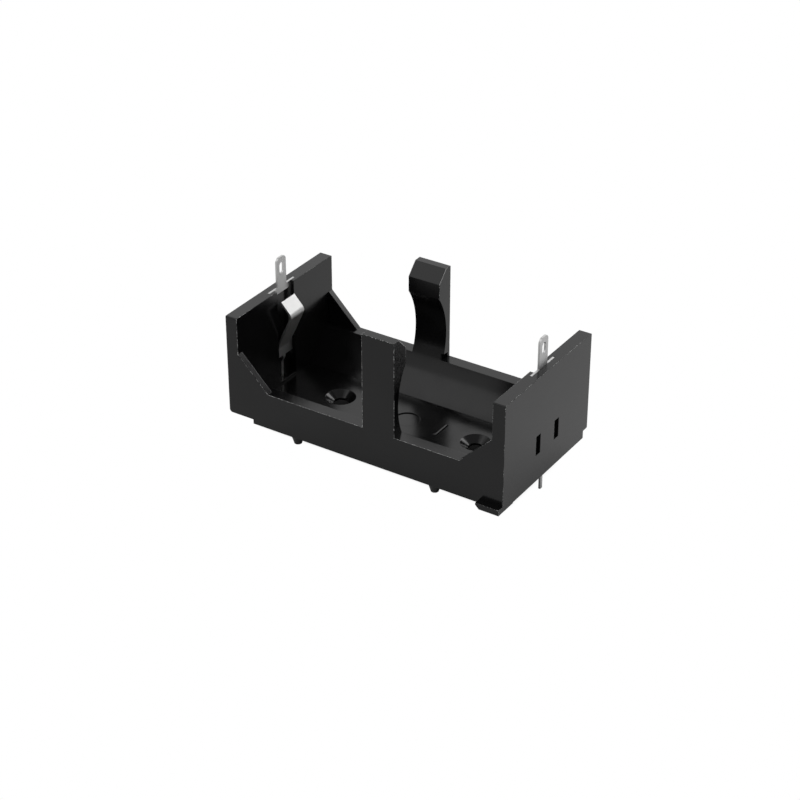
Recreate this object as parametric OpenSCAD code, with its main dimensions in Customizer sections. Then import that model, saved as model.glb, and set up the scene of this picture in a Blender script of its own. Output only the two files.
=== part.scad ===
// Holder for one D cell: a one-piece moulded cradle with two equal spring contacts.
// +X runs along the cell and +Z is up. The origin is on the seating face, midway between the screws.
// The holder looks the same after half a turn about Z.

/* [Cell bay] */
// Diameter of the cradle, taken from the thickest cell
cell_d = 34.2; // [32:0.1:37]
// Clear length between the end walls
bay_l = 66.4; // [62:0.1:74]
// Height of the cradle's axis above the seating face
cradle_axis_h = 16.3; // [15.5:0.1:17.2]
// Thickness of the floor, whose underside is the seating face
floor_t = 1.8; // [1.6:0.1:2.6]
// Diameter of the shallow round gate recess in the middle of the floor
gate_d = 5.9; // [3:0.1:8]
// Depth of the gate recess
gate_depth = 0.2; // [0.1:0.05:0.6]

/* [Walls] */
// Thickness of each end wall
end_wall_t = 3.05; // [2.8:0.05:4.5]
// Height of the end walls above the seating face
end_wall_h = 26.4; // [25.5:0.1:30]
// Height of the long side walls above the seating face
side_wall_h = 9.4; // [8:0.1:11]
// Thickness of the outer skin of the side walls, below the sill
side_skin_t = 1.6; // [1.2:0.1:2.2]
// Thickness of the cradle's sloping skin
cradle_skin_t = 1.8; // [1.4:0.1:2.2]
// Reach of each corner gusset, the same along the sill and up the end wall
gusset = 8; // [4:0.1:11]
// Thickness of the gussets, which stand on the outer part of the sill
gusset_t = 1.5; // [1:0.1:2.4]
// Gap between the seating face and the lower edge of the side walls
side_lift = 0.4; // [0.2:0.1:0.8]
// Gap between the seating face and the end walls, which keeps solder clear of them
end_lift = 0.2; // [0.1:0.05:0.6]
// Radius on the upper corners of the end walls
wall_corner_r = 0.3; // [0.1:0.1:1.2]
// Thickness of the ribs across the underside
rib_t = 1.6; // [1.2:0.1:2.4]

/* [Retaining arms] */
// Width of each arm along the cell
arm_w = 8.3; // [6:0.1:12]
// Distance of each arm from the middle of the holder
arm_offset = 0.35; // [0.2:0.05:4]
// Height of the arms above the seating face
arm_h = 32.8; // [31:0.1:36]
// Thickness of each arm at its thinnest, level with the cradle's axis
arm_t = 1.6; // [1.2:0.1:2.4]
// Thickness of the flat top of each arm
arm_top_t = 1.9; // [1:0.1:3]
// Reach of the retaining lip in from the arm's outer face
lip_reach = 4.7; // [3.6:0.1:6]
// Height of the sloping lead-in above the lip
lead_in_h = 2.9; // [1.5:0.1:4]
// Width of the relief pocket in the inner corner of each arm's foot
relief_w = 0.8; // [0.4:0.1:1.5]
// Height of the relief pocket above the sill
relief_h = 1.4; // [0.6:0.1:2]

/* [Contacts] */
// Thickness of the contact sheet
sheet_t = 0.5; // [0.3:0.05:0.6]
// Width of the contact plate
plate_w = 9.8; // [8:0.1:13]
// Height of the lower edge of the plate, where it rests in its slot
plate_foot_h = 8.2; // [6:0.1:9.5]
// Height of the bar over the leaf's window
top_bar_h = 1.5; // [1:0.1:2.5]
// Width of the spring leaf
leaf_w = 5.1; // [4:0.1:5.6]
// Gap between the leaf and the sides of the window that it is cut from
leaf_gap = 0.15; // [0.05:0.05:0.3]
// Height at which the leaf leaves the plate
leaf_root_h = 10.8; // [10.5:0.1:13]
// Height of the leaf's crest, which presses on the cell
crest_h = 20.4; // [17:0.1:21]
// Reach of the crest in front of the end wall
crest_reach = 3.55; // [2:0.05:5]
// Rise of the leaf's lip from the crest to the free edge
leaf_lip_h = 3; // [1.5:0.1:3.2]
// Setback of the free edge from the crest
leaf_lip_back = 2.85; // [1.5:0.05:3.2]
// Width of the solder lug
lug_w = 3.45; // [2.5:0.05:5]
// Height of the solder lug above the end wall
lug_h = 7.4; // [5:0.1:10]
// Radius on the lug's upper corners
lug_corner_r = 1.2; // [0.6:0.1:1.2]
// Width of the oblong hole in the lug
lug_hole_w = 1.55; // [1:0.05:1.8]
// Length of the oblong hole in the lug
lug_hole_l = 2.85; // [2:0.05:3.6]
// Distance of the hole's upper end from the lug's tip
lug_hole_inset = 1.4; // [1:0.1:2]
// Width of the board pin
pin_w = 0.85; // [0.6:0.05:1.6]
// Length of the board pin below the seating face
pin_l = 4.4; // [2.5:0.1:6]
// Offset of the board pin outwards from the plate
pin_jog = 0.65; // [0.3:0.05:0.8]

/* [Contact seats] */
// Thickness of the rails in front of the contact plate
rail_t = 0.85; // [0.6:0.05:1.1]
// Width of the open channel between the rails
channel_w = 6.5; // [6:0.1:7.5]
// Height of the channel's foot above the floor
channel_foot = 0.6; // [0.3:0.1:2]
// Clearance round the contact sheet in its slot
slot_clear = 0.05; // [0.02:0.01:0.1]
// Width of each of the two windows in the outer face of an end wall
window_w = 1.95; // [1.5:0.05:3]
// Height of the windows
window_h = 4.85; // [3:0.05:6]
// Height of the windows' lower edge above the seating face
window_foot_h = 7; // [5:0.1:9]
// Distance between the middles of the two windows
window_spacing = 8; // [6:0.1:10]

/* [Mounting] */
// Distance between the two screw holes
screw_spacing = 36.5; // [30:0.1:42]
// Diameter of the screw holes
screw_d = 3.4; // [2.5:0.1:4]
// Diameter of the countersinks at the floor
sink_d = 7.1; // [5.5:0.1:9]
// Depth of the countersinks
sink_depth = 1.3; // [0.8:0.05:1.4]
// Diameter of the locating pegs at their root
peg_d = 3; // [2:0.1:3.2]
// Diameter of the locating pegs at their tip
peg_tip_d = 1.8; // [0.8:0.1:1.9]
// Length of the locating pegs below the seating face
peg_l = 1.6; // [0.8:0.1:3]

/* [Side by side] */
// Length of the tongue that hooks under the next holder
tongue_l = 5.85; // [4:0.05:8]
// Reach of the tongue in front of the side wall
tongue_reach = 1.7; // [1:0.05:2.2]
// Height of the tongue
tongue_h = 1.4; // [1:0.05:1.6]
// Depth of the tongue's root under the housing
tongue_root = 4.4; // [3:0.1:6]
// Chamfer under the tongue's inner end
tongue_chamfer = 0.9; // [0.4:0.1:1]
// Room round a tongue in the next holder's notch
notch_clear = 0.1; // [0.05:0.05:0.3]
// Extra length of the notch, for setting holders side by side
notch_play = 0.8; // [0.3:0.1:1.5]
// Radius on the corner of the end wall over the notch
notch_corner_r = 0.8; // [0.3:0.1:1.2]

/* [Hidden] */
$fn = 96;
plastic = [0.06, 0.06, 0.065];
nickel = [0.78, 0.78, 0.76];
// Overlap of a cut past the face that it opens
over = 1;

cradle_r = cell_d / 2;
body_w = cell_d + 2 * arm_t;
body_l = bay_l + 2 * end_wall_t;
half_w = body_w / 2;
half_bay = bay_l / 2;
// Half width of the seating face, where the cradle's skin comes down to it
seat_half_w = sqrt(pow(cradle_r + cradle_skin_t, 2) - pow(cradle_axis_h, 2));
rib_pitch = screw_spacing / 4;
slot_t = sheet_t + 2 * slot_clear;
plate_x = half_bay + rail_t + slot_t / 2;
plate_top_h = end_wall_h;
window_top_h = plate_top_h - top_bar_h;
lug_tip_h = end_wall_h + lug_h;
// Reach of the crest, measured inwards between the middles of the sheet
crest_v = plate_x - half_bay + crest_reach - sheet_t / 2;
leaf_bend_r = 1.2;
leaf_root_r = 1;
pin_bend_r = 0.8;
bend_steps = 10;

// Half turns that carry a feature to its twin
function twins() = [0, 180];

// Unit vector along a line between two points
function along(a, b) = (b - a) / norm(b - a);

// Points of the arc of radius r that rounds the corner b between a and c
function rounded_corner(a, b, c, r) =
    let (
        u = along(b, a),
        v = along(b, c),
        half = acos(u * v) / 2,
        centre = b + along([0, 0], u + v) * r / sin(half),
        from = b + u * r / tan(half) - centre,
        to = b + v * r / tan(half) - centre,
        turn = 180 - 2 * half,
        side = sign(from[0] * to[1] - from[1] * to[0])
    )
    [for (i = [0 : bend_steps])
        let (w = side * turn * i / bend_steps)
        centre + [from[0] * cos(w) - from[1] * sin(w), from[0] * sin(w) + from[1] * cos(w)]];

// Points of a path moved sideways by d
function beside(path, d) =
    [for (i = [0 : len(path) - 1])
        let (t = along(path[max(i - 1, 0)], path[min(i + 1, len(path) - 1)]))
        path[i] + d * [-t[1], t[0]]];

// Sheet of thickness t whose middle follows a path
module strip(path, t) {
    left = beside(path, t / 2);
    right = beside(path, -t / 2);
    polygon(concat(left, [for (i = [len(right) - 1 : -1 : 0]) right[i]]));
}

// Upright panel between two heights, centred on x = 0, with round upper corners
module round_top_panel(w, low, high, r) {
    translate([-w / 2, low])
        square([w, high - low - r]);
    translate([-w / 2 + r, low])
        square([w - 2 * r, high - low]);
    for (side = [-1, 1])
        translate([side * (w / 2 - r), high - r])
            circle(r);
}

// Upright oblong hole between two heights
module oblong(w, low, high) {
    translate([-w / 2, low + w / 2])
        square([w, high - low - w]);
    for (y = [low + w / 2, high - w / 2])
        translate([0, y])
            circle(d = w);
}

// Prism along X from a section drawn in Y and Z
module along_x(from, to) {
    translate([from, 0, 0])
        rotate([90, 0, 90])
            linear_extrude(to - from)
                children();
}

// Prism along Y from a section drawn in X and Z
module along_y(from, to) {
    translate([0, to, 0])
        rotate([90, 0, 0])
            linear_extrude(to - from)
                children();
}

// Box between two corners
module box(low, high) {
    translate(low)
        cube(high - low);
}

// Section of the space for the cell, flat on the floor
module bay_section() {
    intersection() {
        translate([0, cradle_axis_h])
            circle(cradle_r, $fn = 180);
        translate([-half_w, floor_t])
            square([body_w, arm_h]);
    }
}

// Floor and side walls up to the sills, before the bay is cut
module trough() {
    along_x(-half_bay, half_bay) {
        translate([-half_w, side_lift])
            square([body_w, side_wall_h - side_lift]);
        translate([-seat_half_w, 0])
            square([2 * seat_half_w, floor_t]);
    }
}

// Triangle in the corner between a side wall and an end wall
module corner_gusset() {
    along_y(half_w - gusset_t, half_w)
        polygon([
            [half_bay, side_wall_h],
            [half_bay, side_wall_h + gusset],
            [half_bay - gusset, side_wall_h]
        ]);
}

// Springy arm at the back: its hollow face is cut with the bay, which leaves the lip
module retaining_arm() {
    along_x(-arm_offset - arm_w, -arm_offset)
        polygon([
            [half_w, side_wall_h],
            [half_w, arm_h],
            [half_w - arm_top_t, arm_h],
            [half_w - lip_reach, arm_h - lead_in_h],
            [half_w - lip_reach, side_wall_h]
        ]);
}

// Pocket in the corner of the arm's foot nearest the middle, closed towards the outer face
module arm_relief() {
    box(
        [-arm_offset - relief_w, half_w - lip_reach, side_wall_h],
        [-arm_offset + over, half_w - arm_t / 2, side_wall_h + relief_h]
    );
}

// End wall that stops just short of the seating face
module end_wall() {
    along_x(half_bay, half_bay + end_wall_t)
        round_top_panel(body_w, end_lift, end_wall_h, wall_corner_r);
}

// Slot, open channel, pin way and outer windows that one contact sits in
module contact_seat() {
    slot_from = plate_x - slot_t / 2;
    slot_to = plate_x + slot_t / 2;
    slot_half = plate_w / 2 + 2 * slot_clear;
    pin_half = pin_w / 2 + 2 * slot_clear;
    box([slot_from, -slot_half, plate_foot_h], [slot_to, slot_half, end_wall_h + over]);
    box([half_bay - over, -channel_w / 2, floor_t + channel_foot], [slot_to, channel_w / 2, end_wall_h + over]);
    box([slot_from, -pin_half, -over], [slot_to + pin_jog, pin_half, plate_foot_h + over]);
    for (side = [-1, 1])
        translate([slot_from, side * window_spacing / 2 - window_w / 2, window_foot_h])
            cube([end_wall_t, window_w, window_h]);
}

// Countersunk hole through the floor
module screw_hole() {
    translate([0, 0, -over])
        cylinder(d = screw_d, h = floor_t + 2 * over);
    translate([0, 0, floor_t - sink_depth])
        cylinder(d1 = screw_d, d2 = sink_d, h = sink_depth);
    translate([0, 0, floor_t])
        cylinder(d = sink_d, h = over);
}

// Tapered peg under a side wall that finds its hole in the board
module locating_peg() {
    translate([screw_spacing / 2, half_w - peg_d / 2, -peg_l])
        cylinder(d1 = peg_tip_d, d2 = peg_d, h = peg_l + side_lift);
    box(
        [screw_spacing / 2 - peg_d / 2, half_w - peg_d, side_lift],
        [screw_spacing / 2 + peg_d / 2, half_w, side_wall_h - cradle_skin_t]
    );
}

// Hollow under the cradle's slope, between two ribs
module underside_pocket(from, to) {
    along_x(from, to)
        difference() {
            translate([seat_half_w, -over])
                square([half_w - side_skin_t - seat_half_w, cradle_axis_h]);
            translate([0, cradle_axis_h])
                circle(cradle_r + cradle_skin_t, $fn = 180);
        }
}

// Tongue at the front right corner, with its root under the end wall
module gang_tongue() {
    end_x = body_l / 2;
    along_y(-half_w - tongue_reach, -half_w + tongue_root)
        polygon([
            [end_x - tongue_l, tongue_h],
            [end_x, tongue_h],
            [end_x, 0],
            [end_x - tongue_l + tongue_chamfer, 0],
            [end_x - tongue_l, tongue_chamfer]
        ]);
}

// Notch at the front left corner that takes the tongue of the next holder
module gang_notch() {
    notch_h = tongue_h + notch_clear;
    along_y(-half_w - over, -half_w + tongue_reach + notch_clear)
        translate([-body_l / 2, 0]) {
            translate([-over, -over])
                square([over + tongue_l + notch_play, over + notch_h]);
            translate([0, notch_h])
                difference() {
                    translate([-over, -over])
                        square(over + notch_corner_r);
                    translate([notch_corner_r, notch_corner_r])
                        circle(notch_corner_r);
                }
        }
}

module housing() {
    color(plastic)
        difference() {
            union() {
                difference() {
                    trough();
                    for (turn = twins(), bay = [-3 : 2])
                        rotate(turn)
                            underside_pocket(bay * rib_pitch + rib_t / 2, (bay + 1) * rib_pitch - rib_t / 2);
                }
                for (turn = twins())
                    rotate(turn) {
                        retaining_arm();
                        end_wall();
                        gang_tongue();
                        for (end = [0, 1])
                            mirror([end, 0, 0]) {
                                corner_gusset();
                                locating_peg();
                            }
                    }
            }
            along_x(-half_bay, half_bay)
                bay_section();
            for (turn = twins())
                rotate(turn) {
                    arm_relief();
                    contact_seat();
                    gang_notch();
                    translate([screw_spacing / 2, 0, 0])
                        screw_hole();
                }
            translate([0, 0, floor_t - gate_depth])
                cylinder(d = gate_d, h = gate_depth + over);
        }
}

// Plate and lug of a contact, flat in Y and Z, with the leaf's window
module plate_outline() {
    window_half = leaf_w / 2 + leaf_gap;
    difference() {
        union() {
            translate([-plate_w / 2, plate_foot_h])
                square([plate_w, plate_top_h - plate_foot_h]);
            round_top_panel(lug_w, plate_top_h - top_bar_h, lug_tip_h, lug_corner_r);
        }
        translate([-window_half, leaf_root_h])
            square([2 * window_half, window_top_h - leaf_root_h]);
        oblong(lug_hole_w, lug_tip_h - lug_hole_inset - lug_hole_l, lug_tip_h - lug_hole_inset);
    }
}

// Middle of the leaf's sheet: up from the plate, out to the crest and back to the free edge
function leaf_path() =
    let (
        foot = [0, plate_foot_h],
        root = [0, leaf_root_h],
        crest = [crest_v, crest_h],
        edge = [crest_v - leaf_lip_back, crest_h + leaf_lip_h]
    )
    concat(
        [foot],
        rounded_corner(foot, root, crest, leaf_root_r),
        rounded_corner(root, crest, edge, leaf_bend_r),
        [edge]
    );

// Middle of the pin's sheet: down from the plate, a short step outwards and down to the tip
function pin_path() =
    let (
        top = [0, leaf_root_h],
        step_top = [0, plate_foot_h - pin_jog],
        step_foot = [-pin_jog, plate_foot_h - 3 * pin_jog],
        tip = [-pin_jog, -pin_l]
    )
    concat(
        [top],
        rounded_corner(top, step_top, step_foot, pin_bend_r),
        rounded_corner(step_top, step_foot, tip, pin_bend_r),
        [tip]
    );

// Contact at the right end, with its leaf lanced out of the plate towards the cell
module contact() {
    color(nickel) {
        along_x(plate_x - sheet_t / 2, plate_x + sheet_t / 2)
            plate_outline();
        translate([plate_x, 0, 0])
            mirror([1, 0, 0]) {
                along_y(-leaf_w / 2, leaf_w / 2)
                    strip(leaf_path(), sheet_t);
                along_y(-pin_w / 2, pin_w / 2)
                    strip(pin_path(), sheet_t);
            }
    }
}

module negative_contact() {
    contact();
}

module positive_contact() {
    rotate(180)
        contact();
}

housing();
positive_contact();
negative_contact();
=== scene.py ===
"""Looks of a moulded holder for one D cell: materials, polarity signs, studio and camera.

Lengths are metres in the CAD frame: +X along the cell, +Z up, origin on the seating face.
"""
import math

import bmesh
import bpy
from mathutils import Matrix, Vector


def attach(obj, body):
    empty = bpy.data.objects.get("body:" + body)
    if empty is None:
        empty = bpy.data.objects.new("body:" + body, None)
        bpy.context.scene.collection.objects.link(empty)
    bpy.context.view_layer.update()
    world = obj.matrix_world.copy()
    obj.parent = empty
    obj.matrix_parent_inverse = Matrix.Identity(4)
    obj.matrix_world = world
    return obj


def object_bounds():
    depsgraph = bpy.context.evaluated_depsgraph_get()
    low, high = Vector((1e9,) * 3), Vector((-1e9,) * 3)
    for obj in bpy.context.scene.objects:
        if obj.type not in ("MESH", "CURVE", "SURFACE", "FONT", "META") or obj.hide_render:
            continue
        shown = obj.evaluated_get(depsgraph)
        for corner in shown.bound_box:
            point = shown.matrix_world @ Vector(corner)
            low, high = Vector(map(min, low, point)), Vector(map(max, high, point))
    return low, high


MM = 0.001

# Camera: the photograph's viewpoint and a plain long lens turned towards the holder
EYE = Vector((219.8, -342.6, 250.3)) * MM
PAN_DEG = 32.91
TILT_DEG = 30.88
LENS_MM = 94.3
SENSOR_MM = 36
CLIP_START = 0.01
CLIP_END = 20

# Moulded polarity signs on the floor of the bay
BAY_FLOOR_Z = 1.8 * MM
SIGN_X = 8.9 * MM
SIGN_SPAN = 5.4 * MM
SIGN_STROKE = 1.0 * MM
SIGN_RISE = 0.4 * MM
SIGN_SINK = 0.1 * MM
SIGN_EDGE = 0.4 * MM
SIGN_EDGE_STEPS = 4

# Samples of a rounded normal and of the test for open places
SHADER_SAMPLES = 8

# Edges of the moulding: radius of their rounding, width of the band of wear and painted glints, and reach of
# the test for outer ones
EDGE_RADIUS = 0.15 * MM
WEAR_AND_GLINT_WIDTH = 0.25 * MM
OUTER_REACH = 1.4 * MM

# Places of the wear, the painted glints and the grain, as pairs: where it starts and where it is full
SILL_Z = 9.4 * MM
SILL_NEAR = (0.6 * MM, 0.4 * MM)
ARM_X = (10 * MM, 9.2 * MM)
UPPER_ARM_Z = (17 * MM, 25 * MM)
LEAD_IN_Y = (17.1 * MM, 16.8 * MM)
LEAD_IN_Z = (29.9 * MM, 30.2 * MM)
OUTER_WALL_Y = (18.1 * MM, 18.4 * MM)
TOP_Z = (25.8 * MM, 26.1 * MM)
END_FACE_X = (34 * MM, 35 * MM)
TOP_CORNER_Z = (21 * MM, 24 * MM)
GRAIN_FROM_X = (8.2 * MM, 8.5 * MM)
GRAIN_TO_X = (9.2 * MM, 8.9 * MM)
GRAIN_Z = (20 * MM, 25 * MM)

# Kinds of edge that get wear and painted glints, as such pairs: how open it is, how far the normal turns and
# how it lies to an axis; edges facing down get none, as glints fade there
OUTER_OPEN = (0.75, 0.95)
WORN_TURN = (0.95, 0.82)
FACES_AN_END = (0.2, 0.4)
FACES_A_SIDE = (0.1, 0.35)
UPRIGHT = (0.3, 0.1)
NOT_FACING_DOWN = (-0.3, -0.1)

# Faces with grain, as such a pair for their normal's share in X
GRAIN_FACES_X = (0.8, 0.95)

# Noise of the plastic: scales per metre, and such pairs for the values that make a mark
STRETCH_SCALE = 140
STRETCH_VALUES = (0.4, 0.56)
STRETCH_SHIFT = (0.071, 0.043, 0.059)
SPECK_SCALE = 3200
SPECK_VALUES = (0.49, 0.58)
GRAIN_SCALE = 3600
GRAIN_VALUES = (0.3, 0.75)
FLOW_SCALE = 90
GLOSS_SCALE = 240

# Share of the full wear and painted glint between the specks of a sill (a faint painted highlight line), on
# edges across the holder and on upright end corners
SILL_SHARE = 0.2
ACROSS_SHARE = 0.7
END_CORNER_SHARE = 0.55

# Values of a noise that are spread over the whole range of roughness
NOISE_MIDDLE = (0.3, 0.7)

# Plastic: linear colours, reflection and relief, which is low all over and higher on the grain
PLASTIC_DARK = (0.0012, 0.0012, 0.0013, 1)
PLASTIC_PALE = (0.004, 0.004, 0.0042, 1)
GRAIN_GREY = 0.045
# Pale grey of the scuffs, which also paints the edges' glints
SCUFF_AND_GLINT_GREY = 0.6
PLASTIC_ROUGHNESS = (0.15, 0.21)
MARK_ROUGHNESS = 0.1
PLASTIC_IOR = 1.5
PLASTIC_SPECULAR = 0.2
PLASTIC_BUMP = (0.05, 0.25)
PLASTIC_BUMP_HEIGHT = 0.02 * MM

# Plated steel: linear colours, roughness and rolling lines
STEEL_DARK = (0.41, 0.41, 0.408, 1)
STEEL_PALE = (0.49, 0.49, 0.488, 1)
STEEL_ROUGHNESS = (0.42, 0.52)
STEEL_CLOUD_SCALE = 300
LINE_SQUEEZE = (900, 900, 60)
LINE_SCALE = 4.0
LINE_BUMP = 0.04
LINE_BUMP_HEIGHT = 0.01 * MM

# Studio: radiance 1 is white
WORLD_LEVEL = 0.6
FLOOR_SIZE = 6.0
FLOOR_WHITE = 0.95
# Colour of the floor where the holder covers it: a painted shade
FLOOR_PAINTED_SHADE = 0.1
FLOOR_SHADE_REACH = 40 * MM
# Openness over which the floor's painted shade fades out
FLOOR_OPEN = (0.3, 0.9)
# Half length and half width of the shade under the holder: where it starts and where it is full
SHADE_X = (34 * MM, 28 * MM)
SHADE_Y = (13.5 * MM, 8.5 * MM)
SOFTBOX_DISTANCE = 0.9
# Each light's name, its direction from the holder, its radiance and its side
SOFTBOXES = [
    ("back_softbox", (-0.45, 0.69, 0.57), 0.83, 0.8),
    ("top_softbox", (-0.5, -0.5, 0.68), 0.75, 1.0),
    ("top_spot", (-0.47, -0.47, 0.75), 1.0, 0.5),
    ("right_softbox", (0.2, 0.87, 0.42), 5.2, 0.5),
]


class Nodes:
    """Adds shader nodes to one tree and links them."""

    def __init__(self, tree):
        self.tree = tree

    def add(self, kind, inputs=None, **settings):
        """A new node with its settings; an input is a value or another node's output."""
        node = self.tree.nodes.new(kind)
        for name, value in settings.items():
            setattr(node, name, value)
        for name, value in (inputs or {}).items():
            if isinstance(value, bpy.types.NodeSocket):
                self.tree.links.new(value, node.inputs[name])
            else:
                node.inputs[name].default_value = value
        return node

    def math(self, operation, a, b):
        """Output of a two-value Math node."""
        return self.add("ShaderNodeMath", {0: a, 1: b}, operation=operation).outputs[0]

    def product(self, first, *others):
        """Product of several values."""
        for other in others:
            first = self.math("MULTIPLY", first, other)
        return first

    def most(self, first, *others):
        """Largest of several values."""
        for other in others:
            first = self.math("MAXIMUM", first, other)
        return first

    def ease(self, value, low, high):
        """A value moved to the range 0 to 1, with soft ends."""
        inputs = {"Value": value, "From Min": low, "From Max": high}
        return self.add("ShaderNodeMapRange", inputs, interpolation_type="SMOOTHSTEP").outputs["Result"]

    def noise(self, vector, scale, detail):
        """Value of a noise texture, about 0.5 on average."""
        inputs = {"Vector": vector, "Scale": scale, "Detail": detail}
        return self.add("ShaderNodeTexNoise", inputs).outputs["Fac"]

    def size(self, value):
        """A value without its sign."""
        return self.add("ShaderNodeMath", {0: value}, operation="ABSOLUTE").outputs[0]

    def parts(self, vector):
        """X, Y and Z of a vector."""
        return self.add("ShaderNodeSeparateXYZ", {"Vector": vector}).outputs

    def spread(self, value, low, high, to_low=0.0, to_high=1.0):
        """A value moved from one range to another and held there."""
        inputs = {"Value": value, "From Min": low, "From Max": high, "To Min": to_low, "To Max": to_high}
        return self.add("ShaderNodeMapRange", inputs).outputs["Result"]

    def between(self, factor, a, b):
        """Vector between a and b."""
        return self.add("ShaderNodeMix", {0: factor, 4: a, 5: b}, data_type="VECTOR").outputs[1]

    def blend(self, factor, a, b):
        """Colour between a and b."""
        return self.add("ShaderNodeMix", {0: factor, 6: a, 7: b}, data_type="RGBA").outputs[2]

    def bevel(self, radius):
        """Normal rounded over edges within a radius."""
        return self.add("ShaderNodeBevel", {"Radius": radius}, samples=SHADER_SAMPLES).outputs["Normal"]

    def openness(self, reach):
        """Share of the directions off the surface with nothing within reach."""
        inputs = {"Distance": reach}
        return self.add("ShaderNodeAmbientOcclusion", inputs, samples=SHADER_SAMPLES).outputs["AO"]


def grey(level):
    """Opaque neutral colour."""
    return (level, level, level, 1.0)


def new_material(name):
    """Material with an empty node tree, and its helper and output."""
    material = bpy.data.materials.new(name)
    material.use_nodes = True
    material.node_tree.nodes.clear()
    nodes = Nodes(material.node_tree)
    return material, nodes, nodes.add("ShaderNodeOutputMaterial")


def outer_edges(n):
    """Normal rounded over the outer edges, the normal over the wider band of wear and painted glints, and a
    mask of that band.
    """
    flat = n.add("ShaderNodeNewGeometry").outputs["Normal"]
    rounded = n.bevel(EDGE_RADIUS)
    band_normal = n.bevel(WEAR_AND_GLINT_WIDTH)
    outer = n.spread(n.openness(OUTER_REACH), *OUTER_OPEN)
    turn = n.add("ShaderNodeVectorMath", {0: band_normal, 1: flat}, operation="DOT_PRODUCT").outputs["Value"]
    band = n.product(outer, n.spread(turn, *WORN_TURN))
    return n.between(outer, flat, rounded), band_normal, band


def scuffs_and_glints(n, place, band_normal, band):
    """Mask of pale specks on the outermost edges, standing for wear and painted glints alike.

    They lie all along the sills, the upper arms and the end walls' upper corners, and in stretches elsewhere.
    The edges of the arms' lead-in slopes are pale throughout, a painted glint, and the sills carry a faint
    painted highlight line between the specks. Edges facing down get none.
    """
    x, y, z = n.parts(place)
    band_normal_x, band_normal_y, band_normal_z = n.parts(band_normal)
    moved = n.add("ShaderNodeVectorMath", {0: place, 1: STRETCH_SHIFT}, operation="ADD").outputs["Vector"]
    stretches = n.spread(n.noise(moved, STRETCH_SCALE, detail=2), *STRETCH_VALUES)
    specks = n.spread(n.noise(place, SPECK_SCALE, detail=2), *SPECK_VALUES)

    upper_arm = n.product(n.spread(n.size(x), *ARM_X), n.spread(z, *UPPER_ARM_Z))
    lead_in = n.product(upper_arm, n.spread(n.size(y), *LEAD_IN_Y), n.spread(z, *LEAD_IN_Z))
    sill = n.spread(n.size(n.math("SUBTRACT", z, SILL_Z)), *SILL_NEAR)
    outer_wall = n.spread(n.size(y), *OUTER_WALL_Y)
    top = n.product(n.spread(z, *TOP_Z), n.spread(n.size(band_normal_x), *FACES_AN_END))
    end_face = n.spread(n.size(x), *END_FACE_X)
    top_corner = n.product(end_face, outer_wall, n.spread(z, *TOP_CORNER_Z))
    end_corner = n.product(end_face, n.spread(n.size(band_normal_z), *UPRIGHT))

    # A faint painted highlight line along the sills and a full painted glint along the lead-in edges
    marks = n.most(specks, n.product(sill, SILL_SHARE), lead_in)
    often = n.most(stretches, upper_arm, sill, top_corner)
    outermost = n.most(outer_wall, top)
    across = n.spread(n.size(band_normal_y), *FACES_A_SIDE, to_low=ACROSS_SHARE)
    corner = n.most(n.spread(end_corner, 0, 1, to_low=1.0, to_high=END_CORNER_SHARE), top_corner)
    not_under = n.spread(band_normal_z, *NOT_FACING_DOWN)
    return n.product(band, marks, often, outermost, across, corner, not_under)


def arm_side_grain(n, place):
    """Mask of the grain on the side of each arm away from the middle, which fades towards the arm's foot."""
    x, _, z = n.parts(place)
    facing_x = n.parts(n.add("ShaderNodeNewGeometry").outputs["Normal"])[0]
    side_face = n.spread(n.size(facing_x), *GRAIN_FACES_X)
    beyond = n.spread(n.size(x), *GRAIN_FROM_X)
    within = n.spread(n.size(x), *GRAIN_TO_X)
    return n.product(side_face, beyond, within, n.spread(z, *GRAIN_Z))


def black_plastic():
    """Glossy black moulding with faint flow marks, fine grain, and edges with scuffs and painted glints."""
    material, n, output = new_material("black_plastic")
    place = n.add("ShaderNodeTexCoord").outputs["Object"]
    rounded, band_normal, band = outer_edges(n)
    scuff_and_glint = scuffs_and_glints(n, place, band_normal, band)
    side_grain = arm_side_grain(n, place)
    grain = n.noise(place, GRAIN_SCALE, detail=0)
    dots = n.product(side_grain, n.spread(grain, *GRAIN_VALUES))
    body = n.blend(n.noise(place, FLOW_SCALE, detail=2), PLASTIC_DARK, PLASTIC_PALE)
    # Pale edges: scuffs and painted glints
    colour = n.blend(scuff_and_glint, n.blend(dots, body, grey(GRAIN_GREY)), grey(SCUFF_AND_GLINT_GREY))
    gloss = n.spread(n.noise(place, GLOSS_SCALE, detail=3), *NOISE_MIDDLE, *PLASTIC_ROUGHNESS)
    roughness = n.math("ADD", gloss, n.product(n.most(side_grain, scuff_and_glint), MARK_ROUGHNESS))
    relief = n.add(
        "ShaderNodeBump",
        {
            "Height": grain,
            "Strength": n.spread(side_grain, 0, 1, *PLASTIC_BUMP),
            "Distance": PLASTIC_BUMP_HEIGHT,
            "Normal": rounded,
        },
    )
    shader = n.add(
        "ShaderNodeBsdfPrincipled",
        {
            "Base Color": colour,
            "Roughness": roughness,
            "Normal": relief.outputs["Normal"],
            "IOR": PLASTIC_IOR,
            "Specular IOR Level": PLASTIC_SPECULAR,
        },
    )
    n.tree.links.new(shader.outputs[0], output.inputs["Surface"])
    return material


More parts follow.
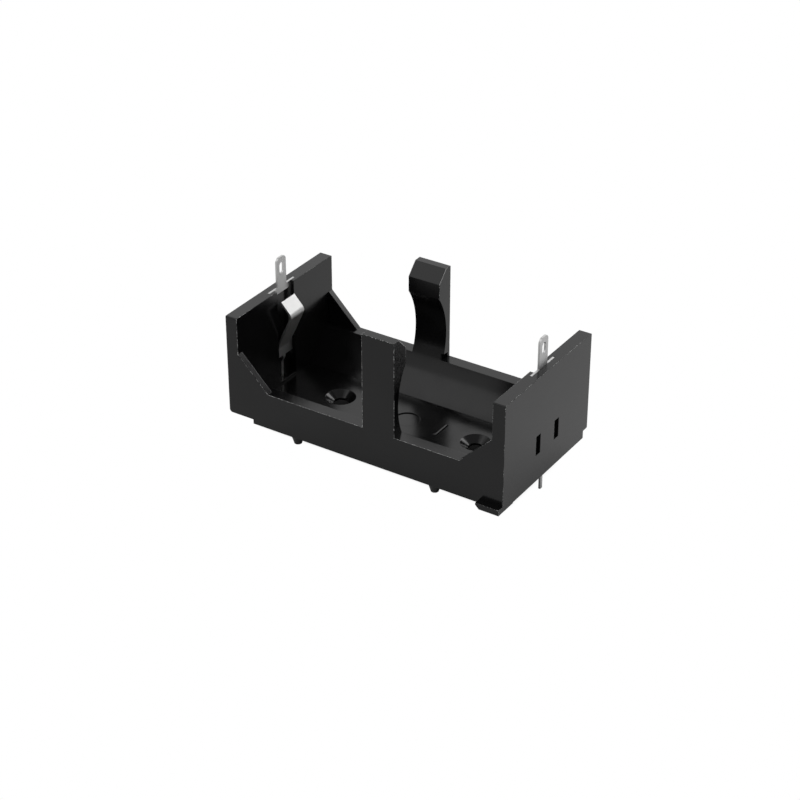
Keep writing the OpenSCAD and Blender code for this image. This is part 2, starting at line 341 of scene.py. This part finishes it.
def plated_spring_steel():
    """Satin plated sheet with fine upright rolling lines."""
    material, n, output = new_material("plated_spring_steel")
    place = n.add("ShaderNodeTexCoord").outputs["Object"]
    squeezed = n.add("ShaderNodeMapping", {"Vector": place, "Scale": LINE_SQUEEZE}).outputs["Vector"]
    lines = n.noise(squeezed, LINE_SCALE, detail=3)
    colour = n.blend(n.noise(place, STEEL_CLOUD_SCALE, detail=3), STEEL_DARK, STEEL_PALE)
    roughness = n.spread(lines, *NOISE_MIDDLE, *STEEL_ROUGHNESS)
    bump = {"Height": lines, "Strength": LINE_BUMP, "Distance": LINE_BUMP_HEIGHT}
    relief = n.add("ShaderNodeBump", bump)
    shader = n.add(
        "ShaderNodeBsdfPrincipled",
        {"Base Color": colour, "Metallic": 1.0, "Roughness": roughness, "Normal": relief.outputs["Normal"]},
    )
    n.tree.links.new(shader.outputs[0], output.inputs["Surface"])
    return material


def raised_sign(name, outline, centre_x, material):
    """Low moulded sign: an outline in X and Y, raised from the floor, with softened upper edges."""
    mesh = bmesh.new()
    low = [mesh.verts.new((centre_x + x, y, BAY_FLOOR_Z - SIGN_SINK)) for x, y in outline]
    base = mesh.faces.new(low)
    top = bmesh.ops.extrude_face_region(mesh, geom=[base])["geom"]
    lifted = [v for v in top if isinstance(v, bmesh.types.BMVert)]
    bmesh.ops.translate(mesh, verts=lifted, vec=(0, 0, SIGN_SINK + SIGN_RISE))
    rim = [e for e in mesh.edges if all(v in lifted for v in e.verts)]
    bmesh.ops.bevel(mesh, geom=rim, offset=SIGN_EDGE, segments=SIGN_EDGE_STEPS, affect="EDGES", profile=0.5)
    bmesh.ops.recalc_face_normals(mesh, faces=mesh.faces)
    data = bpy.data.meshes.new(name)
    mesh.to_mesh(data)
    mesh.free()
    sign = bpy.data.objects.new(name, data)
    bpy.context.scene.collection.objects.link(sign)
    sign.data.materials.append(material)
    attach(sign, "root")


def minus_outline():
    """Bar across the bay."""
    w = SIGN_STROKE / 2
    h = SIGN_SPAN / 2
    return [(-w, -h), (w, -h), (w, h), (-w, h)]


def plus_outline():
    """Cross with arms of equal length."""
    w = SIGN_STROKE / 2
    h = SIGN_SPAN / 2
    arm = [(w, -w), (h, -w), (h, w)]
    turns = [(1, 0), (0, 1), (-1, 0), (0, -1)]
    return [(x * c - y * s, x * s + y * c) for c, s in turns for x, y in arm]


def studio_floor(z):
    """Pale floor that keeps the shadow close to the holder, and further out shows as white. Near and under
    the holder its colour is darkened as a painted shade, also in reflections.
    """
    material, n, output = new_material("studio_floor")
    path = n.add("ShaderNodeLightPath").outputs
    light = n.spread(n.openness(FLOOR_SHADE_REACH), *FLOOR_OPEN)
    x, y, _ = n.parts(n.add("ShaderNodeNewGeometry").outputs["Position"])
    # Box under the holder in which the camera sees the lit floor with its shadow and painted shade; outside
    # it sees plain white glow
    under = n.product(n.ease(n.size(x), *SHADE_X), n.ease(n.size(y), *SHADE_Y))
    seen = n.product(path["Is Camera Ray"], n.math("SUBTRACT", 1.0, under))
    # In reflections the floor's glow gives way to the painted shade near the holder
    mirrored = n.product(n.most(path["Is Glossy Ray"], path["Is Transmission Ray"]), light)
    share = n.most(seen, mirrored)
    # Floor colour darkened near and under the holder: a painted shade
    pale = n.blend(light, grey(FLOOR_PAINTED_SHADE), grey(FLOOR_WHITE))
    matt = n.add("ShaderNodeBsdfDiffuse", {"Color": pale})
    glow = n.add("ShaderNodeEmission", {"Color": grey(1.0), "Strength": 1.0})
    mix = n.add("ShaderNodeMixShader", {0: share, 1: matt.outputs[0], 2: glow.outputs[0]})
    n.tree.links.new(mix.outputs[0], output.inputs["Surface"])
    half = FLOOR_SIZE / 2
    data = bpy.data.meshes.new("studio_floor")
    corners = [(-half, -half, z), (half, -half, z), (half, half, z), (-half, half, z)]
    data.from_pydata(corners, [], [(0, 1, 2, 3)])
    floor = bpy.data.objects.new("studio_floor", data)
    floor.data.materials.append(material)
    bpy.context.scene.collection.objects.link(floor)


def softbox(name, direction, level, side):
    """Square area light that faces the holder from a direction, with a given radiance."""
    data = bpy.data.lights.new(name, "AREA")
    data.shape = "SQUARE"
    data.size = side
    data.energy = level * math.pi * side ** 2
    lamp = bpy.data.objects.new(name, data)
    lamp.location = Vector(direction).normalized() * SOFTBOX_DISTANCE
    lamp.rotation_mode = "QUATERNION"
    lamp.rotation_quaternion = lamp.location.to_track_quat("Z", "Y")
    bpy.context.scene.collection.objects.link(lamp)


def studio_world():
    """Even pale surround."""
    world = bpy.data.worlds.new("studio")
    world.use_nodes = True
    background = world.node_tree.nodes["Background"]
    background.inputs["Color"].default_value = grey(1.0)
    background.inputs["Strength"].default_value = WORLD_LEVEL
    bpy.context.scene.world = world


def studio_camera():
    """Camera at the photograph's viewpoint."""
    data = bpy.data.cameras.new("camera")
    data.sensor_width = SENSOR_MM
    data.lens = LENS_MM
    data.clip_start = CLIP_START
    data.clip_end = CLIP_END
    camera = bpy.data.objects.new("camera", data)
    camera.location = EYE
    camera.rotation_euler = (math.radians(90 - TILT_DEG), 0, math.radians(PAN_DEG))
    bpy.context.scene.collection.objects.link(camera)
    bpy.context.scene.camera = camera


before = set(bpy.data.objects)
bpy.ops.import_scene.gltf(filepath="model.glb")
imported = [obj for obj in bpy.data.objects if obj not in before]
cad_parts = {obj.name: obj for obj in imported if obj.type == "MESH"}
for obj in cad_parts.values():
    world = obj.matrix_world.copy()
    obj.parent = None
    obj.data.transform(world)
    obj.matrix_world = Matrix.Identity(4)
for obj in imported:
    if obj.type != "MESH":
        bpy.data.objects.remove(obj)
cad_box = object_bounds()

plastic = black_plastic()
steel = plated_spring_steel()
finishes = {"housing": plastic, "positive_contact": steel, "negative_contact": steel}
for node_name, finish in finishes.items():
    node_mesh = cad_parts[node_name].data
    node_mesh.materials.clear()
    node_mesh.materials.append(finish)

raised_sign("minus_sign", minus_outline(), SIGN_X, plastic)
raised_sign("plus_sign", plus_outline(), -SIGN_X, plastic)

studio_floor(cad_box[0].z)
studio_world()
for light_name, direction, level, side in SOFTBOXES:
    softbox(light_name, direction, level, side)
studio_camera()
bpy.context.scene.view_settings.view_transform = "Standard"
